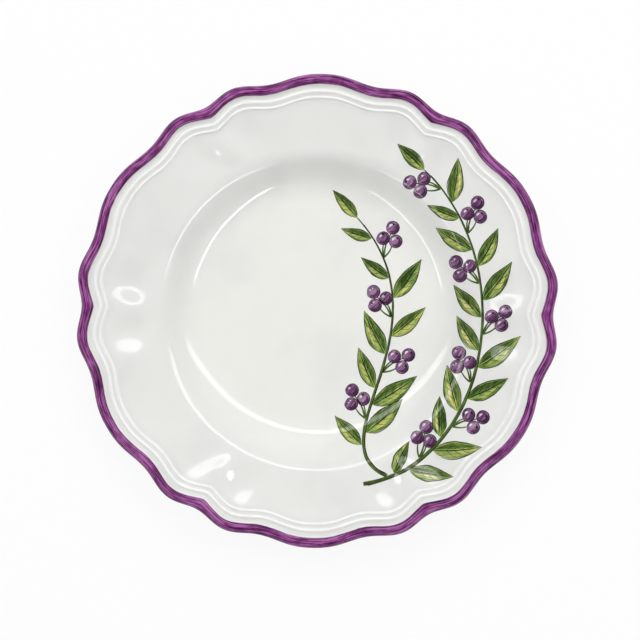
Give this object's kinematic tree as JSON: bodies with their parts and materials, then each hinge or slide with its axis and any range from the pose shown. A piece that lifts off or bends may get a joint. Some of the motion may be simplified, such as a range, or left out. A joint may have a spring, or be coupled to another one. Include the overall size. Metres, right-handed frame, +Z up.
{
  "type": "dinner plate",
  "caption": "Round glazed earthenware dinner plate with a scalloped purple lip, moulded rim, broad flange and round well, painted with a leaf and berry spray and standing on a foot ring.",
  "frame": {"origin": "middle of the foot ring's bearing face, on the table", "axes": "+Z up out of the well, +X through a notch of the rim on the painted side, +Y towards the top of the picture"},
  "size_m": [0.2716, 0.2686, 0.0268],
  "materials": {
    "clay": "matte",
    "glaze": "gloss",
    "band": "gloss",
    "stem_green": "gloss",
    "leaf_green": "gloss",
    "leaf_light": "gloss",
    "ink": "gloss",
    "berry": "gloss",
    "berry_light": "gloss"
  },
  "bodies": {
    "root": {"clay_body": "clay", "foot_ring": "clay", "face_glaze": "glaze", "back_glaze": "glaze", "base_glaze": "glaze", "rim_band": "band", "stems": "stem_green", "stalks": "stem_green", "leaves": "leaf_green", "berries": "berry"}
  },
  "joints": []
}
